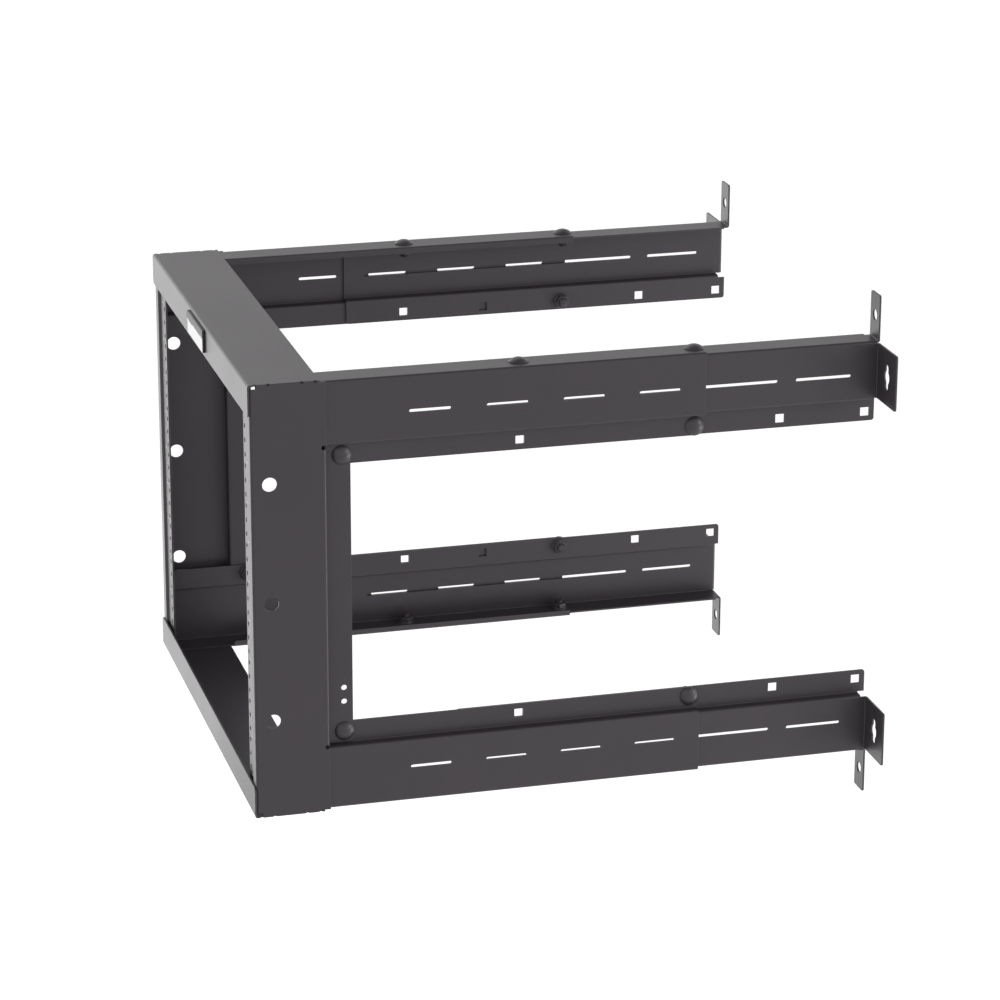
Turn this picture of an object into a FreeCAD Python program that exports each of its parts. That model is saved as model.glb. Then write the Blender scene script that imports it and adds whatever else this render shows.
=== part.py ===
import FreeCAD, Part
import math
import os

# Wall mount open frame rack: two columns and two crossbars in front, and four telescoping
# arms that run back to the wall. All of it is bent sheet steel, bolted with carriage bolts.
# Millimetres. X runs to the right as seen from the front, Y runs to the wall, Z is up.
# The pieces are laid out from the front plane and the underside of the bottom crossbar,
# and are moved at the end so that the origin is the middle of the wall plane.
# The upper right corner is modelled, and the other three corners mirror it.

Vector = FreeCAD.Vector
ORIGIN = Vector(0, 0, 0)
X_AXIS = Vector(1, 0, 0)
Y_AXIS = Vector(0, 1, 0)
Z_AXIS = Vector(0, 0, 1)

# Whole rack
rack_width = 550.0
rack_height = 487.0
sheet = 2.0
bend_inside = 1.0
slide_gap = 0.3
cut_margin = 0.5

# Grid of the 19 inch system
unit_height = 44.45
unit_holes = (6.35, 22.225, 38.1)
rail_width = 49.5
rail_hole_inset = 7.05
rail_hole_d = 5.5
rail_recess = 3.0
rail_seat = 29.5
rail_start = 2.0

# Crossbars, with pairs of small notches in the plate ends
crossbar_depth = 77.0
crossbar_flange = 35.0
crossbar_corner_r = 4.0
notch_d = 3.6
notch_front = 7.5
notch_rear = 4.5
notch_pitch = 14.5

# Columns
column_depth = 83.5
joggle = 11.0
lip_bolt_inset = 18.5
lip_rear_margin = 9.5
lip_corner_r = 4.0
relief_r = 2.5
end_relief_depth = 8.6
end_relief_height = 3.2
port_d = 16.0
port_y = 22.0
port_every = 3
ground_d = 6.4
ground_pitch = 15.875
ground_above_bolt = 42.0

# Bolt grid along the arms, counted in steps of one pitch from the column's bolt
bolt_pitch = 97.8
square_hole = 10.0
fixed_lip_steps = (0, 2, 4)
wall_lip_steps = (2, 3, 4, 5, 6)
flange_steps = (2, 4)
lip_bolt_step = 4
lip_bolt_up = 10.5

# Fixed arms
fixed_start = 10.0
fixed_end_margin = 8.3
arm_flange = 37.0
arm_web = 71.0
arm_lip = 24.5
return_lip = 7.5
return_start_gap = 3.0
fixed_corner_r = 6.0

# Wall arms
wall_start_margin = 70.0
wall_end_margin = 11.2
wall_flange = 55.0
wall_corner_r = 3.0
corner_relief = 8.0
tab_width = 26.5
tab_height = 50.5
tab_hole_d = 12.5
tab_hole_up = 26.0
keyhole_round_d = 16.0
keyhole_slot = 9.5
keyhole_length = 29.5

# Slots in the webs of the arms
slot_width = 3.5
slot_drop = 39.5
short_slot_first = 173.5
short_slot_length = 45.5
short_slot_pitch = 84.6
short_slot_margin = 20.0
long_slot_inset = 24.5
slot_bridge = 21.0
rear_slot_length = 63.0
rear_slot_inset = 32.5

# Carriage bolts and flange nuts
bolt_d = 9.5
bolt_length = 19.0
head_d = 21.4
head_height = 5.2
neck_gap = 0.25
neck_height = 3.4
thread_gap = 0.1
point_chamfer = 1.0
nut_flats = 14.3
nut_height = 8.0
nut_flange_d = 19.0
nut_flange_edge = 1.0
nut_flange_rise = 2.0
nut_chamfer = 0.8

# Badge place
badge_width = 90.0
badge_height = 25.5
badge_thick = 3.0
badge_corner_r = 2.0

# What follows from the sizes above
bend_outside = bend_inside + sheet
half_width = rack_width / 2
nest = sheet + slide_gap
fixed_x = half_width - sheet
fixed_z = rack_height - sheet
wall_x = fixed_x - nest
wall_z = fixed_z - nest
wall_arm_web = arm_web - 2 * nest
wall_arm_flange = arm_flange - 2 * nest - bend_inside
wall_arm_lip = arm_lip + nest - slide_gap
flange_bolt_x = fixed_x - arm_flange / 2
bolt_first = column_depth + lip_bolt_inset
bolt_z = fixed_z - arm_web - arm_lip + lip_bolt_up
slot_z = fixed_z - slot_drop
rail_opening = rack_width - 2 * rail_width
rail_y = sheet + rail_recess
unit_count = int((rack_height - 2 * crossbar_flange - rail_start) // unit_height)


def bolt_y(step):
    return bolt_first + step * bolt_pitch


fixed_end = bolt_y(lip_bolt_step) + fixed_end_margin
wall_start = bolt_y(wall_lip_steps[0]) - wall_start_margin
rack_depth = bolt_y(wall_lip_steps[-1]) + wall_end_margin


# Flat paths are drawn in U and V, and these carry them into the rack
def in_xz(y):
    return lambda p: Vector(p.x, y, p.y)


def in_xy(z):
    return lambda p: Vector(p.x, p.y, z)


def in_yz(x):
    return lambda p: Vector(x, p.x, p.y)


def left_of(direction):
    return Vector(-direction.y, direction.x, 0)


def headings(path):
    """Unit direction of each run of a flat path."""
    found = []
    for start, end in zip(path, path[1:]):
        run = end - start
        run.normalize()
        found.append(run)
    return found


def shifted(path, distance):
    """The same path, moved sideways to its left."""
    runs = headings(path)
    moved = [path[0] + left_of(runs[0]) * distance]
    for point, before, after in zip(path[1:], runs, runs[1:]):
        sides = left_of(before) + left_of(after)
        moved.append(point + sides * (distance / (1 + before.dot(after))))
    moved.append(path[-1] + left_of(runs[-1]) * distance)
    return moved


def rounded(path, radii, place):
    """Edges of a path whose corners are arcs of the radii given."""
    runs = headings(path)
    edges = []
    last = path[0]
    for point, before, after, radius in zip(path[1:], runs, runs[1:], radii):
        half_turn = before.getAngle(after) / 2
        reach = radius * math.tan(half_turn)
        inward = after - before
        inward.normalize()
        start = point - before * reach
        end = point + after * reach
        middle = point + inward * (radius / math.cos(half_turn) - radius)
        edges.append(Part.makeLine(place(last), place(start)))
        edges.append(Part.Arc(place(start), place(middle), place(end)).toShape())
        last = end
    edges.append(Part.makeLine(place(last), place(path[-1])))
    return edges


def bent_sheet(path, side, place, length):
    """Sheet bent along a flat path and drawn out by a vector.

    The path is the face that the sizes are measured to. The thickness lies on its left
    where side is 1 and on its right where side is -1, and each bend keeps its inside radius.
    """
    near = [Vector(u, v, 0) for u, v in path]
    far = shifted(near, side * sheet)
    runs = headings(near)
    turns_in = [left_of(before).dot(after) * side > 0 for before, after in zip(runs, runs[1:])]
    near_radii = [bend_outside if turn else bend_inside for turn in turns_in]
    far_radii = [bend_inside if turn else bend_outside for turn in turns_in]
    outline = rounded(near, near_radii, place)
    outline.append(Part.makeLine(place(near[-1]), place(far[-1])))
    outline += rounded(far[::-1], far_radii[::-1], place)
    outline.append(Part.makeLine(place(far[0]), place(near[0])))
    return Part.Face(Part.Wire(outline)).extrude(length)


def block(x, y, z):
    """Box between the two values given for each axis."""
    low = Vector(min(x), min(y), min(z))
    size = Vector(max(x), max(y), max(z)) - low
    return Part.makeBox(size.x, size.y, size.z, low)


def about(middle, half):
    return (middle - half, middle + half)


def drill(diameter, axis, x, y, z):
    """Round cutter that passes one sheet."""
    start = Vector(x, y, z) - axis * bend_outside
    return Part.makeCylinder(diameter / 2, 2 * bend_outside, start, axis)


def square_punch(axis, x, y, z):
    """Square cutter for a carriage bolt's neck, which passes one sheet."""
    half = square_hole / 2
    if axis == X_AXIS:
        return block(about(x, bend_outside), about(y, half), about(z, half))
    return block(about(x, half), about(y, half), about(z, bend_outside))


def slot_punch(x, start, end):
    """Round ended cutter for a slot in an arm's web."""
    radius = slot_width / 2
    middle = block(about(x, bend_outside), (start + radius, end - radius), about(slot_z, radius))
    ends = [drill(slot_width, X_AXIS, x, y, slot_z) for y in (start + radius, end - radius)]
    return middle.fuse(ends)


def keyhole_punch(x, z):
    """Cutter for a keyhole whose slot runs above and below its round middle."""
    radius = keyhole_slot / 2
    half = keyhole_length / 2 - radius
    slot = block(about(x, radius), about(rack_depth, bend_outside), about(z, half))
    rounds = [drill(keyhole_round_d, Y_AXIS, x, rack_depth, z)]
    rounds += [drill(keyhole_slot, Y_AXIS, x, rack_depth, z + up) for up in (-half, half)]
    return slot.fuse(rounds)


def edges_at(shape, axis, **place):
    """Straight edges along an axis whose middles lie at the place given."""
    near = sheet / 4
    found = []
    for edge in shape.Edges:
        straight = isinstance(edge.Curve, Part.Line)
        if straight and edge.tangentAt(edge.FirstParameter).cross(axis).Length < 1e-6:
            middle = edge.CenterOfMass
            if all(abs(getattr(middle, name) - value) < near for name, value in place.items()):
                found.append(edge)
    return found


def mirror_x(shape):
    return shape.mirror(ORIGIN, X_AXIS)


def mirror_z(shape):
    return shape.mirror(Vector(0, 0, rack_height / 2), Z_AXIS)


def one_solid(shape):
    joined = shape.removeSplitter()
    if len(joined.Solids) != 1:
        raise ValueError("a piece came apart")
    return joined.Solids[0]


def crossbar():
    """Top crossbar: an angle with its flange down in front and notched plate ends."""
    flange_z = rack_height - crossbar_flange
    path = [(0, flange_z), (0, rack_height), (crossbar_depth, rack_height)]
    bar = bent_sheet(path, -1, in_yz(-half_width), X_AXIS * rack_width)
    corners = [e for x in (-half_width, half_width) for e in edges_at(bar, Y_AXIS, x=x, z=flange_z)]
    bar = bar.makeFillet(crossbar_corner_r, corners)
    rear = crossbar_depth - notch_rear
    rows = (notch_front, notch_front + notch_pitch, rear - notch_pitch, rear)
    notches = [drill(notch_d, Z_AXIS, x, y, rack_height)
               for x in (-half_width, half_width) for y in rows]
    return one_solid(bar.cut(notches))


def rail_heights():
    """Heights of the rail's holes, three to a unit."""
    start = crossbar_flange + rail_start
    return [start + unit * unit_height + hole for unit in range(unit_count) for hole in unit_holes]


def port_heights():
    """Heights of the round holes in the web, spread about the middle."""
    count = unit_count // port_every
    rows = [k - (count - 1) / 2 for k in range(count)]
    return [rack_height / 2 + row * port_every * unit_height for row in rows]


def column(grounded):
    """Right column: the recessed rail in front, the web, and a joggled lip between the arms."""
    low = sheet
    high = rack_height - sheet
    lip_x = half_width - joggle
    lip_end = bolt_first + lip_rear_margin
    lip_gap = arm_web + bend_inside + slide_gap
    lip_low = low + lip_gap
    lip_high = high - lip_gap
    web_split = column_depth - 2 * bend_outside
    inner_x = rail_opening / 2
    seat_end = inner_x + rail_seat
    plain_path = [(inner_x, rail_y), (seat_end, rail_y), (seat_end + rail_recess, sheet),
                  (half_width, sheet), (half_width, column_depth)]
    lip_path = [(half_width, web_split), (half_width, column_depth), (lip_x, column_depth),
                (lip_x, lip_end)]
    plain = bent_sheet(plain_path, 1, in_xy(low), Z_AXIS * (high - low))
    window = block(about(half_width, bend_outside), (web_split, column_depth + sheet),
                   (lip_low, lip_high))
    lip = bent_sheet(lip_path, 1, in_xy(lip_low), Z_AXIS * (lip_high - lip_low))
    shape = one_solid(plain.cut(window).fuse(lip))
    corners = [e for z in (lip_low, lip_high) for e in edges_at(shape, X_AXIS, y=lip_end, z=z)]
    shape = shape.makeFillet(lip_corner_r, corners)

    relief_y = column_depth - bend_outside
    cuts = [drill(2 * relief_r, X_AXIS, half_width, relief_y, z) for z in (lip_low, lip_high)]
    for end in ((0, low + end_relief_height), (high - end_relief_height, rack_height)):
        cuts.append(block((0, rack_width), (0, end_relief_depth), end))
    hole_x = inner_x + rail_hole_inset
    cuts += [drill(rail_hole_d, Y_AXIS, hole_x, rail_y, z) for z in rail_heights()]
    cuts += [drill(port_d, X_AXIS, half_width, port_y, z) for z in port_heights()]
    if grounded:
        ground_z = rack_height - bolt_z + ground_above_bolt
        cuts += [drill(ground_d, X_AXIS, lip_x, bolt_first, z)
                 for z in about(ground_z, ground_pitch / 2)]
    cuts += [square_punch(X_AXIS, lip_x, bolt_first, z) for z in (bolt_z, rack_height - bolt_z)]
    return one_solid(shape.cut(cuts))


def arm_path(x, z, flange, web, lip, inner_lip=0.0):
    """Section of an arm from the inner edge of its flange, down its web and out to its lip."""
    ledge_z = z - web
    path = [(x - flange, z), (x, z), (x, ledge_z), (x - joggle, ledge_z), (x - joggle, ledge_z - lip)]
    return [(x - flange, z - inner_lip)] + path if inner_lip else path


def arm_holes(x, z, lip_steps):
    """Square holes of an arm, in its lip and its flange."""
    cuts = [square_punch(X_AXIS, x - joggle, bolt_y(step), bolt_z) for step in lip_steps]
    return cuts + [square_punch(Z_AXIS, flange_bolt_x, bolt_y(step), z) for step in flange_steps]


def fixed_arm():
    """Upper right arm of the frame. Behind the crossbar its flange has a return lip."""
    bare_end = crossbar_depth + return_start_gap
    bare = arm_path(fixed_x, fixed_z, arm_flange - bend_outside, arm_web, arm_lip)
    full = arm_path(fixed_x, fixed_z, arm_flange, arm_web, arm_lip, return_lip)
    front = bent_sheet(bare, -1, in_xz(fixed_start), Y_AXIS * (bare_end - fixed_start))
    rear = bent_sheet(full, -1, in_xz(bare_end), Y_AXIS * (fixed_end - bare_end))
    arm = one_solid(front.fuse(rear))
    return_z = fixed_z - return_lip
    arm = arm.makeFillet(bend_outside, edges_at(arm, X_AXIS, y=bare_end, z=return_z))
    lip_z = fixed_z - arm_web - arm_lip
    corners = [e for y in (fixed_start, fixed_end) for e in edges_at(arm, X_AXIS, y=y, z=lip_z)]
    arm = arm.makeFillet(fixed_corner_r, corners)

    cuts = arm_holes(fixed_x, fixed_z, fixed_lip_steps)
    start = short_slot_first
    while start + short_slot_length < fixed_end - short_slot_margin:
        cuts.append(slot_punch(fixed_x, start, start + short_slot_length))
        start += short_slot_pitch
    return one_solid(arm.cut(cuts))


def wall_arm():
    """Upper right arm that nests in the fixed arm and bolts to the wall."""
    body_end = rack_depth - corner_relief
    path = arm_path(wall_x, wall_z, wall_arm_flange, wall_arm_web, wall_arm_lip)
    body = bent_sheet(path, -1, in_xz(wall_start), Y_AXIS * (body_end - wall_start))

    web_top = wall_z - sheet - cut_margin
    web_low = wall_z - wall_arm_web + sheet
    foot_x = wall_x + wall_flange
    inner_x = wall_x - sheet
    foot_path = [(inner_x, body_end), (inner_x, rack_depth), (foot_x, rack_depth)]
    foot = bent_sheet(foot_path, -1, in_xy(web_low), Z_AXIS * (web_top - web_low))

    tab_x = wall_x - cut_margin - tab_width
    tab_top = wall_z + tab_height
    under_z = wall_z - sheet
    tab_path = [(body_end, under_z), (rack_depth, under_z), (rack_depth, tab_top)]
    tab = bent_sheet(tab_path, 1, in_yz(tab_x), X_AXIS * tab_width)

    lip_x = wall_x - joggle
    ledge_z = wall_z - wall_arm_web
    lip_z = ledge_z - wall_arm_lip
    lip_end = rack_depth - slide_gap
    lip = block((lip_x - sheet, lip_x), (body_end, lip_end), (lip_z, ledge_z - bend_inside))
    arm = one_solid(body.fuse([foot, tab, lip]))
    corners = [e for y in (wall_start, lip_end) for e in edges_at(arm, X_AXIS, y=y, z=lip_z)]
    arm = arm.makeFillet(wall_corner_r, corners)
    corners = [e for x in (tab_x, tab_x + tab_width) for e in edges_at(arm, Y_AXIS, x=x, z=tab_top)]
    corners += [e for z in (web_low, web_top) for e in edges_at(arm, Y_AXIS, x=foot_x, z=z)]
    arm = arm.makeFillet(relief_r, corners)

    cuts = arm_holes(wall_x, wall_z, wall_lip_steps)
    rear_slot_end = rack_depth - rear_slot_inset
    rear_slot_start = rear_slot_end - rear_slot_length
    cuts.append(slot_punch(wall_x, rear_slot_start, rear_slot_end))
    cuts.append(slot_punch(wall_x, wall_start + long_slot_inset, rear_slot_start - slot_bridge))
    cuts.append(keyhole_punch(wall_x + wall_flange / 2, (web_low + web_top) / 2))
    cuts.append(drill(tab_hole_d, Y_AXIS, tab_x + tab_width / 2, rack_depth, wall_z + tab_hole_up))
    return one_solid(arm.cut(cuts))


def carriage_bolt():
    """Bolt along Z with its head above the seat at zero and its thread below."""
    rim = head_d / 2
    dome_r = (rim * rim + head_height * head_height) / (2 * head_height)
    half_angle = math.asin(rim / dome_r) / 2
    crown = Vector(0, 0, head_height)
    flank = crown + Vector(dome_r * math.sin(half_angle), 0, dome_r * (math.cos(half_angle) - 1))
    edge = Vector(rim, 0, 0)
    outline = [Part.Arc(crown, flank, edge).toShape(), Part.makeLine(edge, ORIGIN),
               Part.makeLine(ORIGIN, crown)]
    head = Part.Face(Part.Wire(outline)).revolve(ORIGIN, Z_AXIS, 360)
    half_neck = square_hole / 2 - neck_gap
    neck = block(about(0, half_neck), about(0, half_neck), (-neck_height, 0))
    radius = bolt_d / 2
    shank = Part.makeCylinder(radius, bolt_length - point_chamfer, ORIGIN, -Z_AXIS)
    tip_z = -(bolt_length - point_chamfer)
    point = Part.makeCone(radius, radius - point_chamfer, point_chamfer, Vector(0, 0, tip_z), -Z_AXIS)
    return one_solid(head.fuse([neck, shank, point]))


def flange_nut():
    """Hexagon nut along Z, its round flange up against the seat at zero."""
    corner_r = nut_flats / math.sqrt(3)
    turns = [math.radians(60 * k) for k in range(7)]
    outline = [Vector(corner_r * math.cos(a), corner_r * math.sin(a), 0) for a in turns]
    hexagon = Part.Face(Part.makePolygon(outline)).extrude(-Z_AXIS * nut_height)
    barrel = Part.makeCylinder(corner_r, nut_height - nut_chamfer, ORIGIN, -Z_AXIS)
    barrel_end = Vector(0, 0, nut_chamfer - nut_height)
    crown = Part.makeCone(corner_r, nut_flats / 2, nut_chamfer, barrel_end, -Z_AXIS)
    edge = Part.makeCylinder(nut_flange_d / 2, nut_flange_edge, ORIGIN, -Z_AXIS)
    slope = Part.makeCone(nut_flange_d / 2, nut_flats / 2, nut_flange_rise,
                          Vector(0, 0, -nut_flange_edge), -Z_AXIS)
    nut = hexagon.common(barrel.fuse(crown)).fuse([edge, slope])
    bore = Part.makeCylinder(bolt_d / 2 + thread_gap, nut_height, ORIGIN, -Z_AXIS)
    return one_solid(nut.cut(bore))


def seated(shape, outward, point):
    """A fastener with its head turned outward and its seat on a point."""
    placed = shape.copy()
    if outward == X_AXIS:
        placed.rotate(ORIGIN, Y_AXIS, 90)
    placed.translate(point)
    return placed


def fasteners():
    """Name and shape of each bolt and nut at the upper right corner."""
    bolt = carriage_bolt()
    nut = flange_nut()
    fixed_lip = fixed_x - joggle
    wall_lip = wall_x - joggle
    lip_y = bolt_y(lip_bolt_step)
    places = [("corner", X_AXIS, Vector(half_width - joggle, bolt_first, bolt_z),
               Vector(fixed_lip - sheet, bolt_first, bolt_z)),
              ("lip", X_AXIS, Vector(fixed_lip, lip_y, bolt_z), Vector(wall_lip - sheet, lip_y, bolt_z))]
    for name, step in zip(("flange_front", "flange_rear"), flange_steps):
        over = Vector(flange_bolt_x, bolt_y(step), fixed_z)
        under = Vector(flange_bolt_x, bolt_y(step), wall_z - sheet)
        places.append((name, Z_AXIS, over, under))
    for name, outward, head, back in places:
        yield name + "_bolt", seated(bolt, outward, head)
        yield name + "_nut", seated(nut, outward, back)


def badge():
    """Blank raised plate on the top crossbar's flange."""
    middle = rack_height - crossbar_flange / 2
    plate = block(about(0, badge_width / 2), (-badge_thick, 0), about(middle, badge_height / 2))
    corners = [e for x in about(0, badge_width / 2) for e in edges_at(plate, Y_AXIS, x=x)]
    return plate.makeFillet(badge_corner_r, corners)


def corners_of(name, shape):
    """The upper right piece and the three that mirror it."""
    yield name + "_upper_right", shape
    yield name + "_upper_left", mirror_x(shape)
    yield name + "_lower_right", mirror_z(shape)
    yield name + "_lower_left", mirror_x(mirror_z(shape))


def pieces():
    bar = crossbar()
    yield "crossbar_top", bar
    yield "crossbar_bottom", mirror_z(bar)
    yield "column_right", column(True)
    yield "column_left", mirror_x(column(False))
    yield "badge_plate", badge()
    yield from corners_of("fixed_arm", fixed_arm())
    yield from corners_of("wall_arm", wall_arm())
    for name, shape in fasteners():
        yield from corners_of(name, shape)


os.makedirs("parts", exist_ok=True)
to_wall_middle = Vector(0, -rack_depth, -rack_height / 2)
for node, shape in pieces():
    placed = shape.translated(to_wall_middle)
    placed.exportStep("parts/%s.step" % node)
    print(node, placed.isValid(), round(placed.Volume))
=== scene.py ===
import bpy
import math
from mathutils import Euler, Matrix, Vector


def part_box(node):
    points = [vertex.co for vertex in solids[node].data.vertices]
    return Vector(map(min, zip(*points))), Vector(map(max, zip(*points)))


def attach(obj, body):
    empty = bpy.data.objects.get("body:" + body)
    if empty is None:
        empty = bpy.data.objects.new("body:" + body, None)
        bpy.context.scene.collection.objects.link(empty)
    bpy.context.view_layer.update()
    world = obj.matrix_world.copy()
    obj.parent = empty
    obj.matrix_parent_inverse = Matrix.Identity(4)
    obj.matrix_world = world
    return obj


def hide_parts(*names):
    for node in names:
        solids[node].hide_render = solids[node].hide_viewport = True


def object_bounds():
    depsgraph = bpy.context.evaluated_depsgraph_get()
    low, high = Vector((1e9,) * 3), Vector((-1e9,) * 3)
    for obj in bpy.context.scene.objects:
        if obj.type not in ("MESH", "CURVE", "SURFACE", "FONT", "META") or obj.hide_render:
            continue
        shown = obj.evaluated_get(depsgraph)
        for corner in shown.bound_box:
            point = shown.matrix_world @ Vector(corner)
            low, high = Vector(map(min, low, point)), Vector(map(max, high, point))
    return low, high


# Wall mount open frame rack. Metres, in the same frame as the solids:
# the origin is the middle of the wall plane, +X is the rack's right, -Y its front, +Z up.

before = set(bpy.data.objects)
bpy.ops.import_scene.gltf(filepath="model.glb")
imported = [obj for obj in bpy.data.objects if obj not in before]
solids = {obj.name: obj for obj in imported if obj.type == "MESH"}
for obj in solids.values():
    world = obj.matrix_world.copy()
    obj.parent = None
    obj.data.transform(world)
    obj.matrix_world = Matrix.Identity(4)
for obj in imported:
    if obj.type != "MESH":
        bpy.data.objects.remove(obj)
cadLow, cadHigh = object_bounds()
print("frame loaded with", len(solids), "solids")

xAxis = Vector((1, 0, 0))
yAxis = Vector((0, 1, 0))
zAxis = Vector((0, 0, 1))


# Camera, as the photograph was taken
cameraView = {
    "place": (3.93966, -1.42840, 1.37378),
    "azimuth": 74.73,       # degrees round from the front towards the right side
    "elevation": 18.60,     # degrees above the horizon
    "roll": 0.16,
    "lens": 135.284,        # mm, for the sensor's width below
    "sensor": 36,
    "nearest": 0.1,
    "furthest": 100,
}


def makeCamera(view):
    lens = bpy.data.cameras.new("camera")
    lens.sensor_width = view["sensor"]
    lens.lens = view["lens"]
    lens.clip_start = view["nearest"]
    lens.clip_end = view["furthest"]
    camera = bpy.data.objects.new("camera", lens)
    bpy.context.scene.collection.objects.link(camera)
    camera.location = view["place"]
    aim = Euler((math.radians(90 - view["elevation"]), 0, math.radians(view["azimuth"]))).to_matrix()
    camera.rotation_euler = (aim @ Matrix.Rotation(math.radians(view["roll"]), 3, "Z")).to_euler()
    bpy.context.scene.camera = camera


makeCamera(cameraView)
print("camera set")


# Materials
class Tap:
    # A socket of a material. Arithmetic on taps adds its own Math nodes.
    def __init__(self, tree, socket=None):
        self.tree = tree
        self.socket = socket

    def node(self, kind, settings=None, inputs=None, out=0):
        # Adds any node: its type, its settings, and the values or taps for its inputs
        made = self.tree.nodes.new("ShaderNode" + kind)
        for name, value in (settings or {}).items():
            setattr(made, name, value)
        for name, value in (inputs or {}).items():
            if isinstance(value, Tap):
                self.tree.links.new(value.socket, made.inputs[name])
            else:
                made.inputs[name].default_value = value
        return Tap(self.tree, made.outputs[out] if made.outputs else None)

    def maths(self, operation, first, second):
        return self.node("Math", {"operation": operation}, {0: first, 1: second})

    def __add__(self, other):
        return self.maths("ADD", self, other)

    def __radd__(self, other):
        return self.maths("ADD", other, self)

    def __sub__(self, other):
        return self.maths("SUBTRACT", self, other)

    def __rsub__(self, other):
        return self.maths("SUBTRACT", other, self)

    def __mul__(self, other):
        return self.maths("MULTIPLY", self, other)

    def __rmul__(self, other):
        return self.maths("MULTIPLY", other, self)

    def clamped(self, low, high):
        return self.maths("MINIMUM", self.maths("MAXIMUM", self, low), high)


def blankMaterial(name):
    material = bpy.data.materials.new(name)
    material.use_nodes = True
    material.node_tree.nodes.clear()
    return material, Tap(material.node_tree)


def grain(tree, place, scale, detail=2.0, roughness=0.5):
    # Noise about zero, from -0.5 to 0.5
    noise = tree.node("TexNoise", None, {"Vector": place, "Scale": scale, "Detail": detail,
                                         "Roughness": roughness})
    return noise - 0.5


def shareOf(noise):
    # Turns noise about zero into a share from 0 to 1
    return (0.5 + noise).clamped(0.0, 1.0)


def blendColour(tree, share, first, second):
    # The colour sockets of a Mix node are its inputs 6 and 7 and its output 2
    return tree.node("Mix", {"data_type": "RGBA"}, {0: share, 6: first, 7: second}, out=2)


def edgeWear(tree, look):
    # One along the edges of a sheet and zero on its faces, the mask for a painted highlight along the
    # edges, and the rounded normal
    rounded = tree.node("Bevel", {"samples": 6}, {"Radius": look["edgeRadius"]})
    flat = tree.node("NewGeometry", out="True Normal")
    turned = tree.node("VectorMath", {"operation": "DOT_PRODUCT"}, {0: rounded, 1: flat}, out="Value")
    return ((1 - turned) * look["edgeGain"]).clamped(0.0, 1.0), rounded


def coatedSteel(name, look):
    # Black powder coat: orange peel, a little cloudiness, and thin pale edges that are a painted
    # highlight
    material, tree = blankMaterial(name)
    place = tree.node("TexCoord", out="Object")
    cloud = grain(tree, place, look["cloudScale"], detail=3.0)
    speck = grain(tree, place, look["speckScale"], roughness=0.6)
    edge, rounded = edgeWear(tree, look)
    tone = shareOf(cloud * look["cloudShare"] + speck * look["speckShare"])
    coat = blendColour(tree, tone, look["dark"], look["light"])
    # The pale edge colour is a painted highlight along every sheet edge
    colour = blendColour(tree, edge * look["edgeShare"], coat, look["edge"])
    rough = look["rough"] + cloud * look["roughCloud"] + speck * look["roughSpeck"]
    peel = tree.node("TexNoise", None, {"Vector": place, "Scale": look["peelScale"],
                                        "Detail": look["peelDetail"]})
    bump = tree.node("Bump", None, {"Strength": look["bumpStrength"], "Distance": look["bumpDepth"],
                                    "Height": peel, "Normal": rounded})
    shader = tree.node("BsdfPrincipled", None, {
        "Base Color": colour, "Roughness": rough.clamped(0.05, 1.0), "Normal": bump,
        "IOR": look["ior"]})
    tree.node("OutputMaterial", None, {"Surface": shader})
    return material


coatLook = {
    "dark": (0.0425, 0.0362, 0.0425, 1), "light": (0.0540, 0.0460, 0.0540, 1),
    # edge: the colour of the painted edge highlight
    "edge": (0.095, 0.088, 0.095, 1),
    "cloudScale": 9.0, "cloudShare": 0.9, "speckScale": 420.0, "speckShare": 0.8,
    "rough": 0.43, "roughCloud": 0.07, "roughSpeck": 0.10,
    "peelScale": 640.0, "peelDetail": 1.5, "bumpStrength": 0.10, "bumpDepth": 0.0004,
    "edgeRadius": 0.0006, "edgeGain": 3.0, "edgeShare": 0.55,
    "ior": 1.5,
}


def blackenedSteel(name, look):
    # Black oxide on a forged bolt or nut: fine mottling, and pale edges that are partly rubbed wear
    # and partly a painted highlight
    material, tree = blankMaterial(name)
    place = tree.node("TexCoord", out="Object")
    mottle = grain(tree, place, look["mottleScale"], detail=4.0, roughness=0.6)
    scuff = grain(tree, place, look["scuffScale"])
    edge, rounded = edgeWear(tree, look)
    tone = shareOf(mottle * look["mottleShare"])
    oxide = blendColour(tree, tone, look["dark"], look["light"])
    # The pale edge colour is partly rubbed wear and partly a painted highlight on the rims
    colour = blendColour(tree, edge * look["edgeShare"], oxide, look["edge"])
    rough = look["rough"] + mottle * look["roughMottle"] + scuff * look["roughScuff"]
    bump = tree.node("Bump", None, {"Strength": look["bumpStrength"], "Distance": look["bumpDepth"],
                                    "Height": mottle + scuff * look["bumpScuff"], "Normal": rounded})
    shader = tree.node("BsdfPrincipled", None, {
        "Base Color": colour, "Roughness": rough.clamped(0.05, 1.0), "Normal": bump,
        "Metallic": look["metal"], "IOR": look["ior"]})
    tree.node("OutputMaterial", None, {"Surface": shader})
    return material


boltLook = {
    "dark": (0.044, 0.0385, 0.044, 1), "light": (0.062, 0.054, 0.062, 1),
    # edge: pale edge colour, partly rubbed wear and partly a painted highlight
    "edge": (0.13, 0.12, 0.13, 1), "metal": 0.15,
    "mottleScale": 260.0, "mottleShare": 1.1, "scuffScale": 60.0,
    "rough": 0.35, "roughMottle": 0.08, "roughScuff": 0.10,
    "edgeRadius": 0.0004, "edgeGain": 3.0, "edgeShare": 0.5,
    "bumpStrength": 0.12, "bumpDepth": 0.0002, "bumpScuff": 0.5,
    "ior": 1.5,
}
nutLook = dict(boltLook, rough=0.46, scuffScale=90.0, edgeShare=0.7)


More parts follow.
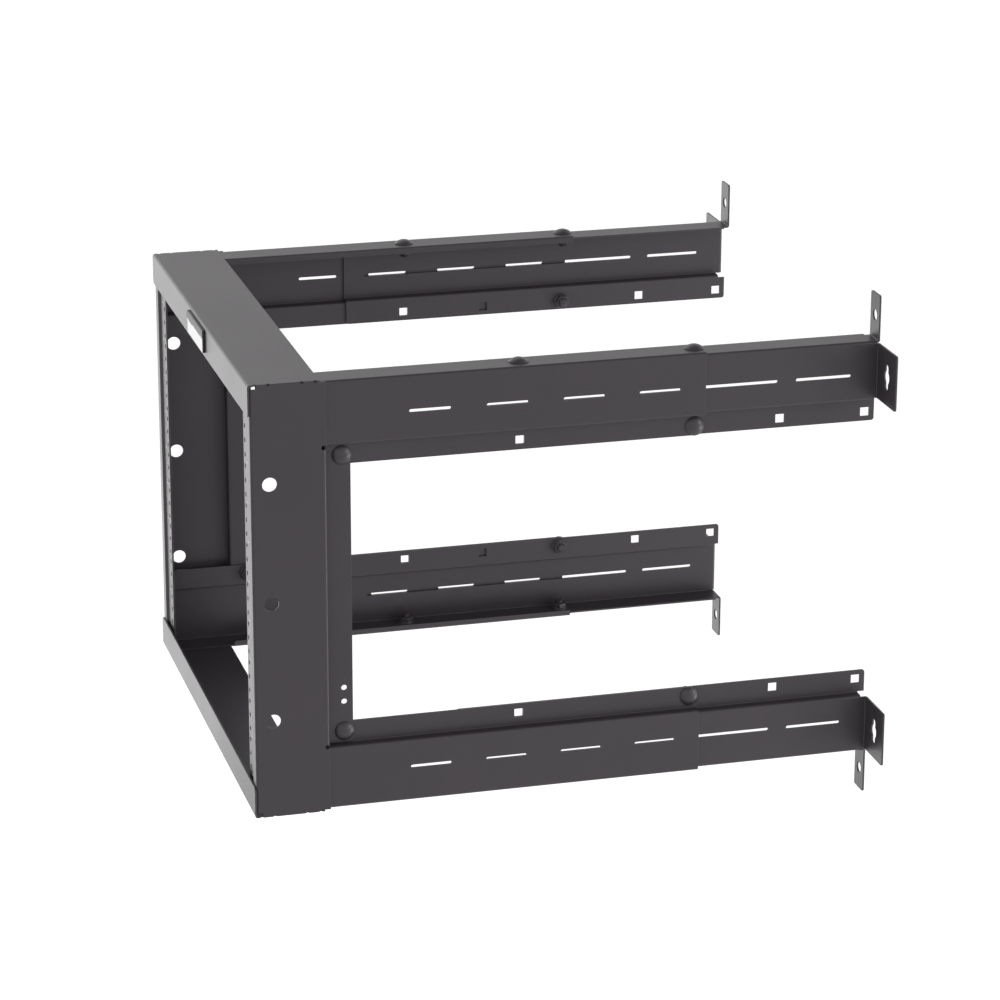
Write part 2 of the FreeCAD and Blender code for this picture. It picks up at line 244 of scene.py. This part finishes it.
def mouldedPlastic(name, look):
    # Black plastic with a soft ripple from the mould, gloss below and satin along its upper side
    material, tree = blankMaterial(name)
    place = tree.node("TexCoord", out="Object")
    ripple = grain(tree, place, look["rippleScale"], detail=1.0)
    dust = grain(tree, place, look["dustScale"], detail=3.0, roughness=0.7)
    colour = blendColour(tree, shareOf(dust * look["dustShare"]), look["dark"], look["light"])
    height = tree.node("SeparateXYZ", None, {"Vector": place}, out="Z")
    satin = tree.node("MapRange", {"interpolation_type": "SMOOTHSTEP"}, {
        "Value": height + ripple * look["satinWander"], "From Min": look["satinFrom"],
        "From Max": look["satinTo"], "To Min": 0.0, "To Max": 1.0})
    rough = look["rough"] + dust * look["roughDust"] + satin * look["roughSatin"]
    bump = tree.node("Bump", None, {"Strength": look["bumpStrength"], "Distance": look["bumpDepth"],
                                    "Height": ripple + dust * look["bumpDust"]})
    shader = tree.node("BsdfPrincipled", None, {
        "Base Color": colour, "Roughness": rough.clamped(0.03, 1.0), "Normal": bump,
        "IOR": look["ior"]})
    tree.node("OutputMaterial", None, {"Surface": shader})
    return material


badgeLook = {
    "dark": (0.012, 0.012, 0.013, 1), "light": (0.020, 0.020, 0.021, 1),
    "rippleScale": 90.0, "dustScale": 900.0, "dustShare": 0.8, "rough": 0.22, "roughDust": 0.10,
    "satinFrom": 0.2278, "satinTo": 0.2305, "satinWander": 0.006, "roughSatin": 0.28,
    "bumpStrength": 0.08, "bumpDepth": 0.0003, "bumpDust": 0.2,
    "ior": 1.5,
}


def printedInk(name, look):
    # Pale screen printed ink, thinner in places
    material, tree = blankMaterial(name)
    place = tree.node("TexCoord", out="Object")
    thin = grain(tree, place, look["thinScale"], detail=3.0, roughness=0.6)
    colour = blendColour(tree, shareOf(thin * look["thinShare"]), look["dark"], look["light"])
    bump = tree.node("Bump", None, {"Strength": look["bumpStrength"], "Distance": look["bumpDepth"],
                                    "Height": thin})
    shader = tree.node("BsdfPrincipled", None, {
        "Base Color": colour, "Roughness": look["rough"] + thin * look["roughThin"], "Normal": bump,
        "IOR": look["ior"]})
    tree.node("OutputMaterial", None, {"Surface": shader})
    return material


inkLook = {
    "dark": (0.45, 0.45, 0.45, 1), "light": (0.80, 0.80, 0.79, 1),
    "thinScale": 1600.0, "thinShare": 1.2, "rough": 0.5, "roughThin": 0.2,
    "bumpStrength": 0.1, "bumpDepth": 0.00005,
    "ior": 1.5,
}

powderCoat = coatedSteel("powderCoat", coatLook)
boltOxide = blackenedSteel("boltOxide", boltLook)
nutOxide = blackenedSteel("nutOxide", nutLook)
badgePlastic = mouldedPlastic("badgePlastic", badgeLook)
unitInk = printedInk("unitInk", inkLook)

for name, solid in solids.items():
    finish = powderCoat
    if "_bolt_" in name:
        finish = boltOxide
    elif "_nut_" in name:
        finish = nutOxide
    elif name == "badge_plate":
        finish = badgePlastic
    solid.data.materials.clear()
    solid.data.materials.append(finish)
print("materials on the solids")


# Steps that the pieces share
hair = 0.00002      # places nearer than this count as one
weld = 0.000001     # doubles nearer than this are merged
facing = 0.99       # a normal with more than this along an axis faces that way
nearRim = 0.95      # an edge further out than this share of a rim's radius belongs to the rim


def clearSelection():
    if bpy.context.object and bpy.context.object.mode == "EDIT":
        bpy.ops.object.mode_set(mode="OBJECT")
    bpy.ops.object.select_all(action="DESELECT")


def makeActive(piece):
    clearSelection()
    piece.select_set(True)
    bpy.context.view_layer.objects.active = piece


def startEditing(piece):
    makeActive(piece)
    bpy.ops.object.mode_set(mode="EDIT")


def pick(piece, kind, test):
    # Selects the faces or edges whose middle and normal or run pass the test
    bpy.ops.mesh.select_mode(type="FACE" if kind == "faces" else "EDGE")
    bpy.ops.object.mode_set(mode="OBJECT")
    mesh = piece.data
    for group in (mesh.vertices, mesh.edges, mesh.polygons):
        group.foreach_set("select", [False] * len(group))
    if kind == "faces":
        for face in mesh.polygons:
            face.select = test(face.center, face.normal)
    else:
        for edge in mesh.edges:
            ends = [mesh.vertices[k].co for k in edge.vertices]
            edge.select = test((ends[0] + ends[1]) / 2, ends[1] - ends[0])
    bpy.ops.object.mode_set(mode="EDIT")


def settled():
    # The primitive that was just added, with its place and scale put into its mesh
    bpy.ops.object.transform_apply(location=True, rotation=True, scale=True)
    return bpy.context.object


def addBlock(middle, size):
    clearSelection()
    bpy.ops.mesh.primitive_cube_add(size=1, location=middle, scale=size)
    return settled()


def addRound(sides, radius, length, middleHeight):
    clearSelection()
    bpy.ops.mesh.primitive_cylinder_add(vertices=sides, radius=radius, depth=length,
                                        location=(0, 0, middleHeight))
    return settled()


def startProfile(place):
    # A plane shrunk to one vertex at the place, which a profile is extruded from
    clearSelection()
    bpy.ops.mesh.primitive_plane_add(location=(0, 0, 0))
    profile = bpy.context.object
    startEditing(profile)
    bpy.ops.mesh.select_mode(type="VERT")
    bpy.ops.mesh.select_all(action="SELECT")
    bpy.ops.mesh.merge(type="CENTER")
    bpy.ops.transform.translate(value=place)
    return profile


def joinPieces(pieces):
    clearSelection()
    for piece in pieces:
        piece.select_set(True)
    bpy.context.view_layer.objects.active = pieces[0]
    bpy.ops.object.join()
    return bpy.context.object


def applyModifier(piece, kind, settings):
    # Adds a modifier, sets it and applies it
    makeActive(piece)
    modifier = piece.modifiers.new(kind.lower(), kind)
    for name, value in settings.items():
        setattr(modifier, name, value)
    bpy.ops.object.modifier_apply(modifier=modifier.name)


def combine(piece, cutter, operation):
    applyModifier(piece, "BOOLEAN", {"object": cutter, "operation": operation, "solver": "EXACT"})
    bpy.data.objects.remove(cutter)


def closeAndSmooth(piece, smoothBelow):
    # Merges doubles, turns the faces outwards and smooths all but the sharp edges
    startEditing(piece)
    bpy.ops.mesh.select_mode(type="VERT")
    bpy.ops.mesh.select_all(action="SELECT")
    bpy.ops.mesh.remove_doubles(threshold=weld)
    bpy.ops.mesh.select_all(action="SELECT")
    bpy.ops.mesh.normals_make_consistent(inside=False)
    bpy.ops.object.mode_set(mode="OBJECT")
    bpy.ops.object.shade_smooth_by_angle(angle=math.radians(smoothBelow))


def copyOf(source):
    copy = source.copy()
    copy.data = source.data.copy()
    bpy.context.scene.collection.objects.link(copy)
    return copy


def finishPiece(piece, name, material, replaced=None):
    # Puts the piece's place into its mesh, gives it its finish and fixes it to the rack
    makeActive(piece)
    bpy.ops.object.transform_apply(location=True, rotation=True, scale=True)
    piece.name = name
    piece.data.name = name
    piece.data.materials.clear()
    piece.data.materials.append(material)
    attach(piece, "root")
    if replaced:
        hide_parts(replaced)


# Carriage bolt, head up and its seat at zero
boltShape = {
    "headWidth": 0.0214, "headHeight": 0.0052, "headSides": 48, "headRings": 72,
    "land": 0.0008, "landRound": 0.00045,       # the head's short upright edge
    "neckWidth": 0.0095, "neckDepth": 0.0034, "neckRound": 0.0005,
    "threadWidth": 0.0095, "threadDepth": 0.0009, "threadSides": 20, "pitch": 0.0015875,
    "flat": 0.125, "flank": 0.3125,             # of the pitch: three flats and two flanks a turn
    "length": 0.016, "point": 0.0009,           # length from the seat to the end
    "smoothBelow": 32,                          # degrees between faces that shade as one
}


def modelHead(shape):
    land = shape["land"]
    rim = shape["headWidth"] / 2
    rise = shape["headHeight"] - land
    domeRadius = (rim * rim + rise * rise) / (2 * rise)
    clearSelection()
    bpy.ops.mesh.primitive_uv_sphere_add(segments=shape["headSides"], ring_count=shape["headRings"],
                                         radius=domeRadius,
                                         location=(0, 0, shape["headHeight"] - domeRadius))
    head = settled()
    startEditing(head)
    bpy.ops.mesh.select_all(action="SELECT")
    bpy.ops.mesh.bisect(plane_co=(0, 0, land), plane_no=zAxis, use_fill=True, clear_inner=True)
    pick(head, "faces", lambda middle, normal: normal.z < -facing)
    bpy.ops.mesh.extrude_region_move(TRANSFORM_OT_translate={"value": (0, 0, -land)})
    pick(head, "edges", lambda middle, run: abs(middle.z - land) < hair and abs(run.z) < hair)
    bpy.ops.mesh.bevel(offset=shape["landRound"], segments=3, affect="EDGES")
    return head


def modelNeck(shape):
    width = shape["neckWidth"]
    depth = shape["neckDepth"]
    neck = addBlock((0, 0, -depth / 2), (width, width, depth))
    startEditing(neck)
    pick(neck, "edges", lambda middle, run: abs(run.z) > hair or abs(middle.z + depth) < hair)
    bpy.ops.mesh.bevel(offset=shape["neckRound"], segments=2, affect="EDGES")
    return neck


def modelThread(shape):
    # A V shaped profile of one turn, drawn out along a screw line and cut off flat
    pitch = shape["pitch"]
    depth = shape["threadDepth"]
    root = shape["threadWidth"] / 2 - depth
    thread = startProfile((root, 0, -shape["length"] - pitch))
    flat = shape["flat"] * pitch
    flank = shape["flank"] * pitch
    for outward, along in ((0, flat), (depth, flank), (0, flat), (-depth, flank), (0, flat)):
        bpy.ops.mesh.extrude_vertices_move(TRANSFORM_OT_translate={"value": (outward, 0, along)})
    applyModifier(thread, "SCREW", {
        "axis": "Z", "angle": math.radians(360), "screw_offset": pitch,
        "iterations": math.ceil(shape["length"] / pitch) + 1,
        "steps": shape["threadSides"], "render_steps": shape["threadSides"],
        "use_merge_vertices": True, "merge_threshold": 2 * weld})
    startEditing(thread)
    bpy.ops.mesh.select_mode(type="VERT")
    bpy.ops.mesh.select_all(action="SELECT")
    bpy.ops.mesh.remove_doubles(threshold=2 * weld)
    tip = -shape["length"] + shape["point"]
    insideNeck = -shape["neckDepth"] * 0.7
    for height, side in ((insideNeck, "clear_outer"), (tip, "clear_inner")):
        bpy.ops.mesh.select_all(action="SELECT")
        bpy.ops.mesh.bisect(plane_co=(0, 0, height), plane_no=zAxis, use_fill=True, **{side: True})
    bpy.ops.mesh.select_all(action="SELECT")
    bpy.ops.mesh.normals_make_consistent(inside=False)
    pick(thread, "faces", lambda middle, normal: abs(middle.z - tip) < hair)
    bpy.ops.mesh.inset(thickness=shape["point"], depth=shape["point"])
    return thread


# Flange nut, its flange up against the seat at zero
nutShape = {
    "acrossFlats": 0.0143, "height": 0.008, "chamfer": 0.0009,
    "flangeWidth": 0.019, "flangeEdge": 0.001, "flangeRise": 0.002, "flangeRound": 0.0003,
    "bore": 0.0097, "boreSides": 40, "countersink": 0.0006,
    "roundSides": 48, "smoothBelow": 28,
    "turnStep": 17,     # degrees, times the nut's place in the list of nodes
}


def modelTurnedEnd(shape):
    # A round bar with its outer end turned down, which takes the corners off the hexagon
    corner = shape["acrossFlats"] / math.sqrt(3)
    height = shape["height"]
    spare = height * 0.02
    turned = addRound(shape["roundSides"], corner, height + spare, (spare - height) / 2)
    startEditing(turned)
    pick(turned, "faces", lambda middle, normal: normal.z < -facing)
    bpy.ops.mesh.inset(thickness=corner - shape["acrossFlats"] / 2 + shape["chamfer"] / 2, depth=0)
    pick(turned, "edges", lambda middle, run: abs(middle.z + height) < hair
         and middle.xy.length > corner * nearRim)
    bpy.ops.transform.translate(value=(0, 0, shape["chamfer"]))
    bpy.ops.object.mode_set(mode="OBJECT")
    return turned


def modelFlange(shape):
    rim = shape["flangeWidth"] / 2
    flange = addRound(shape["roundSides"], rim, shape["flangeEdge"], -shape["flangeEdge"] / 2)
    startEditing(flange)
    pick(flange, "faces", lambda middle, normal: normal.z < -facing)
    bpy.ops.mesh.extrude_region_move(TRANSFORM_OT_translate={"value": (0, 0, -shape["flangeRise"])})
    narrowing = shape["acrossFlats"] / shape["flangeWidth"]
    bpy.ops.transform.resize(value=(narrowing, narrowing, 1))
    pick(flange, "edges", lambda middle, run: abs(run.z) < hair and middle.xy.length > rim * nearRim)
    bpy.ops.mesh.bevel(offset=shape["flangeRound"], segments=2, affect="EDGES")
    bpy.ops.object.mode_set(mode="OBJECT")
    return flange


def modelNut(shape):
    height = shape["height"]
    bore = shape["bore"] / 2
    nut = addRound(6, shape["acrossFlats"] / math.sqrt(3), height, -height / 2)
    combine(nut, modelTurnedEnd(shape), "INTERSECT")
    combine(nut, modelFlange(shape), "UNION")
    drillLength = height * 1.5
    combine(nut, addRound(shape["boreSides"], bore, drillLength, -height / 2), "DIFFERENCE")
    startEditing(nut)
    pick(nut, "edges", lambda middle, run: abs(middle.z + height) < hair and middle.xy.length < bore)
    bpy.ops.mesh.bevel(offset=shape["countersink"], segments=1, affect="EDGES")
    return nut


def seatOf(name, reach):
    # Where a fastener's seat is, and the way its head end or nut end points out of the rack
    low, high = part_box(name)
    middle = (low + high) / 2
    if "flange" in name:
        outward = zAxis if middle.z > 0 else -zAxis
    else:
        outward = xAxis if middle.x > 0 else -xAxis
    half = (high - low) / 2
    edge = middle + outward * abs(half.dot(outward))
    return edge - outward * reach, outward


def placeFastener(source, name, newName, reach, spin, material):
    seat, outward = seatOf(name, reach)
    piece = copyOf(source)
    turn = zAxis.rotation_difference(outward).to_matrix() @ Matrix.Rotation(spin, 3, "Z")
    piece.rotation_mode = "QUATERNION"
    piece.rotation_quaternion = turn.to_quaternion()
    piece.location = seat
    finishPiece(piece, newName, material, name)


bolt = joinPieces([modelHead(boltShape), modelNeck(boltShape), modelThread(boltShape)])
closeAndSmooth(bolt, boltShape["smoothBelow"])
nut = modelNut(nutShape)
closeAndSmooth(nut, nutShape["smoothBelow"])
for index, name in enumerate(sorted(solids)):
    if "_bolt_" in name:
        newName = name.replace("_bolt_", "_carriage_bolt_")
        placeFastener(bolt, name, newName, boltShape["headHeight"], 0.0, boltOxide)
    elif "_nut_" in name:
        newName = name.replace("_nut_", "_flange_nut_")
        spin = math.radians(nutShape["turnStep"] * index % 60)      # a hexagon repeats after 60
        placeFastener(nut, name, newName, 0.0, spin, nutOxide)
for source in (bolt, nut):
    bpy.data.objects.remove(source)
print("bolts and nuts made")


# Badge plate: a blank face sunk a little into a narrow rim
badgeShape = {"corner": 0.002, "edge": 0.0003, "rim": 0.0006, "recess": 0.00015, "smoothBelow": 40}


def modelBadge(shape):
    low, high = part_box("badge_plate")
    badge = addBlock((low + high) / 2, high - low)
    startEditing(badge)
    pick(badge, "edges", lambda middle, run: abs(run.y) > hair)
    bpy.ops.mesh.bevel(offset=shape["corner"], segments=6, affect="EDGES")
    pick(badge, "edges", lambda middle, run: abs(run.y) < hair and abs(middle.y - low.y) < hair)
    bpy.ops.mesh.bevel(offset=shape["edge"], segments=2, affect="EDGES")
    pick(badge, "faces", lambda middle, normal: normal.y < -facing)
    bpy.ops.mesh.inset(thickness=shape["rim"], depth=0)
    bpy.ops.mesh.inset(thickness=shape["recess"], depth=-shape["recess"])
    closeAndSmooth(badge, shape["smoothBelow"])
    return badge


finishPiece(modelBadge(badgeShape), "badge_blank", badgePlastic, "badge_plate")
print("badge made")


# The rails' holes, as the solids have them
railHoles = {
    "row": 0.23255,             # from the middle of the rack
    "behindFront": 0.005, "sheet": 0.002,
    "firstUnit": 0.037, "unit": 0.04445, "units": 9,
    "heights": (0.00635, 0.022225, 0.0381),     # in each unit
}
sides = (("right", 1), ("left", -1))


def railPlace(side, height, outwards=0.0):
    # A place on the rail's front, by its height over the first unit's lower edge
    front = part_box("crossbar_top")[0].y
    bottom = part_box("crossbar_bottom")[0].z
    return Vector((side * (railHoles["row"] + outwards), front + railHoles["behindFront"],
                   bottom + railHoles["firstUnit"] + height))


# Marks printed beside the holes: a tick at each unit's edge and the unit's number
railMarks = {
    "fromHoles": 0.0093, "thickness": 0.00012,
    "tickWidth": 0.008, "tickHeight": 0.0011, "tickRound": 0.3,     # of the tick's height
    "digitSize": 0.0085, "digitCurve": 4,
}


def modelTick(look, place):
    size = (look["tickWidth"], look["thickness"], look["tickHeight"])
    tick = addBlock(place - yAxis * look["thickness"] / 2, size)
    startEditing(tick)
    pick(tick, "edges", lambda middle, run: abs(run.y) > hair)
    bpy.ops.mesh.bevel(offset=look["tickHeight"] * look["tickRound"], segments=2, affect="EDGES")
    bpy.ops.object.mode_set(mode="OBJECT")
    return tick


def modelDigit(look, place, number):
    clearSelection()
    bpy.ops.object.text_add(location=(0, 0, 0))
    digit = bpy.context.object
    digit.data.body = str(number)
    digit.data.size = look["digitSize"]
    digit.data.align_x = "CENTER"
    digit.data.align_y = "CENTER"
    digit.data.extrude = look["thickness"] / 2
    digit.data.resolution_u = look["digitCurve"]
    bpy.ops.object.convert(target="MESH")
    digit = bpy.context.object
    digit.rotation_euler = (math.radians(90), 0, 0)
    digit.location = place - yAxis * look["thickness"] / 2
    bpy.ops.object.transform_apply(location=True, rotation=True, scale=True)
    return digit


for sideName, side in sides:
    marks = []
    for unit in range(railHoles["units"] + 1):
        height = unit * railHoles["unit"]
        marks.append(modelTick(railMarks, railPlace(side, height, railMarks["fromHoles"])))
        if unit < railHoles["units"]:
            middle = railPlace(side, height + railHoles["heights"][1], railMarks["fromHoles"])
            marks.append(modelDigit(railMarks, middle, unit + 1))
    finishPiece(joinPieces(marks), "unit_marks_" + sideName, unitInk)
print("unit marks made")


# Thread in the rails' tapped holes: a ridge along a screw line, with its foot in the sheet
railThread = {
    "outer": 0.00279, "inner": 0.0023, "pitch": 0.001058, "turns": 2, "sides": 16,
    "flank": 0.32, "crest": 0.14,       # of the pitch
    "inset": 0.00012, "smoothBelow": 40,
}


def modelRailThread(look):
    pitch = look["pitch"]
    ridge = startProfile((look["outer"], 0, 0))
    inward = look["inner"] - look["outer"]
    flank = look["flank"] * pitch
    crest = look["crest"] * pitch
    for across, along in ((inward, flank), (0, crest), (-inward, flank)):
        bpy.ops.mesh.extrude_vertices_move(TRANSFORM_OT_translate={"value": (across, 0, along)})
    bpy.ops.mesh.select_all(action="SELECT")
    bpy.ops.mesh.edge_face_add()
    bpy.ops.mesh.delete(type="ONLY_FACE")
    reach = (railHoles["sheet"] - 2 * look["inset"] - 2 * flank - crest) / look["turns"]
    applyModifier(ridge, "SCREW", {"axis": "Z", "angle": math.radians(360), "screw_offset": reach,
                                   "iterations": look["turns"], "steps": look["sides"],
                                   "render_steps": look["sides"]})
    startEditing(ridge)
    bpy.ops.mesh.select_all(action="SELECT")
    bpy.ops.mesh.fill_holes(sides=4)
    bpy.ops.object.mode_set(mode="OBJECT")
    closeAndSmooth(ridge, look["smoothBelow"])
    return ridge


ridge = modelRailThread(railThread)
for sideName, side in sides:
    ridges = []
    for unit in range(railHoles["units"]):
        for height in railHoles["heights"]:
            copy = copyOf(ridge)
            copy.rotation_euler = (math.radians(-90), 0, 0)
            copy.location = (railPlace(side, unit * railHoles["unit"] + height)
                             + yAxis * railThread["inset"])
            ridges.append(copy)
    finishPiece(joinPieces(ridges), "rail_threads_" + sideName, powderCoat)
bpy.data.objects.remove(ridge)
print("rail threads made")


# Floor, lights and the white surroundings
studio = {
    "floorDrop": 1.15, "floorSize": 60.0,
    "paperDark": (0.80, 0.80, 0.80, 1), "paperLight": (0.84, 0.84, 0.84, 1), "paperScale": 3.0,
    "floorLift": 0.66, "floorMirrored": 0.62,
    "fill": 0.75, "overheadFrom": 0.55, "overheadTo": 0.88, "overheadDark": 0.75,
    "lamps": {
        # width, height, power, place, aimed at
        "topLamp": (2.4, 2.4, 11.0, (-1.8, -0.9, 2.6), (0, -0.35, 0)),
        "frontLamp": (1.6, 2.3, 22.8, (-2.35, -1.28, -0.22), (0, -0.69, -0.15)),
        "sideLamp": (1.6, 1.6, 36.0, (2.9, 3.4, 1.1), (0.2, -0.35, 0)),
        "rearLamp": (1.0, 1.0, 14.0, (1.15, 1.75, -0.80), (0.25, -0.45, 0)),
    },
}


def raysFrom(tree):
    # One for what the camera sees straight, and one for what it sees mirrored or through glass
    camera = tree.node("LightPath", out="Is Camera Ray")
    glossy = tree.node("LightPath", out="Is Glossy Ray")
    through = tree.node("LightPath", out="Is Transmission Ray")
    return camera, (glossy + through).clamped(0.0, 1.0)


def makeFloor(look):
    clearSelection()
    bpy.ops.mesh.primitive_plane_add(size=look["floorSize"],
                                     location=(0, 0, cadLow.z - look["floorDrop"]))
    floor = bpy.context.object
    floor.name = "floor"
    material, tree = blankMaterial("floorPaper")
    place = tree.node("TexCoord", out="Object")
    mottle = grain(tree, place, look["paperScale"], detail=3.0)
    paper = tree.node("BsdfDiffuse", None, {
        "Color": blendColour(tree, 0.5 + mottle, look["paperDark"], look["paperLight"])})
    camera, mirrored = raysFrom(tree)
    seen = camera + mirrored * look["floorMirrored"]
    lift = tree.node("Emission", None, {"Color": (1, 1, 1, 1), "Strength": seen * look["floorLift"]})
    both = tree.node("AddShader", None, {0: paper, 1: lift})
    tree.node("OutputMaterial", None, {"Surface": both})
    floor.data.materials.append(material)


def makeWorld(look):
    # White where the camera sees it and in reflections, softer as fill, darker straight overhead
    world = bpy.data.worlds.new("studio")
    bpy.context.scene.world = world
    world.use_nodes = True
    world.node_tree.nodes.clear()
    tree = Tap(world.node_tree)
    camera, mirrored = raysFrom(tree)
    direction = tree.node("TexCoord", out="Generated")
    height = tree.node("SeparateXYZ", None, {"Vector": direction}, out="Z")
    overhead = tree.node("MapRange", {"interpolation_type": "SMOOTHSTEP"}, {
        "Value": height, "From Min": look["overheadFrom"], "From Max": look["overheadTo"],
        "To Min": 1.0, "To Max": 1 - look["overheadDark"]})
    around = (look["fill"] + mirrored * (1 - look["fill"])) * overhead
    strength = camera + (1 - camera) * around
    sky = tree.node("Background", None, {"Color": (1, 1, 1, 1), "Strength": strength})
    tree.node("OutputWorld", None, {"Surface": sky})


def makeLamp(name, width, height, power, place, target):
    lamp = bpy.data.lights.new(name, "AREA")
    lamp.shape = "RECTANGLE"
    lamp.size = width
    lamp.size_y = height
    lamp.energy = power
    holder = bpy.data.objects.new(name, lamp)
    bpy.context.scene.collection.objects.link(holder)
    holder.location = place
    holder.visible_camera = False
    away = Vector(target) - Vector(place)
    holder.rotation_euler = away.to_track_quat("-Z", "Y").to_euler()


makeFloor(studio)
makeWorld(studio)
for name, settings in studio["lamps"].items():
    makeLamp(name, *settings)

bpy.context.scene.view_settings.view_transform = "Standard"
print("floor, lights and surroundings made")
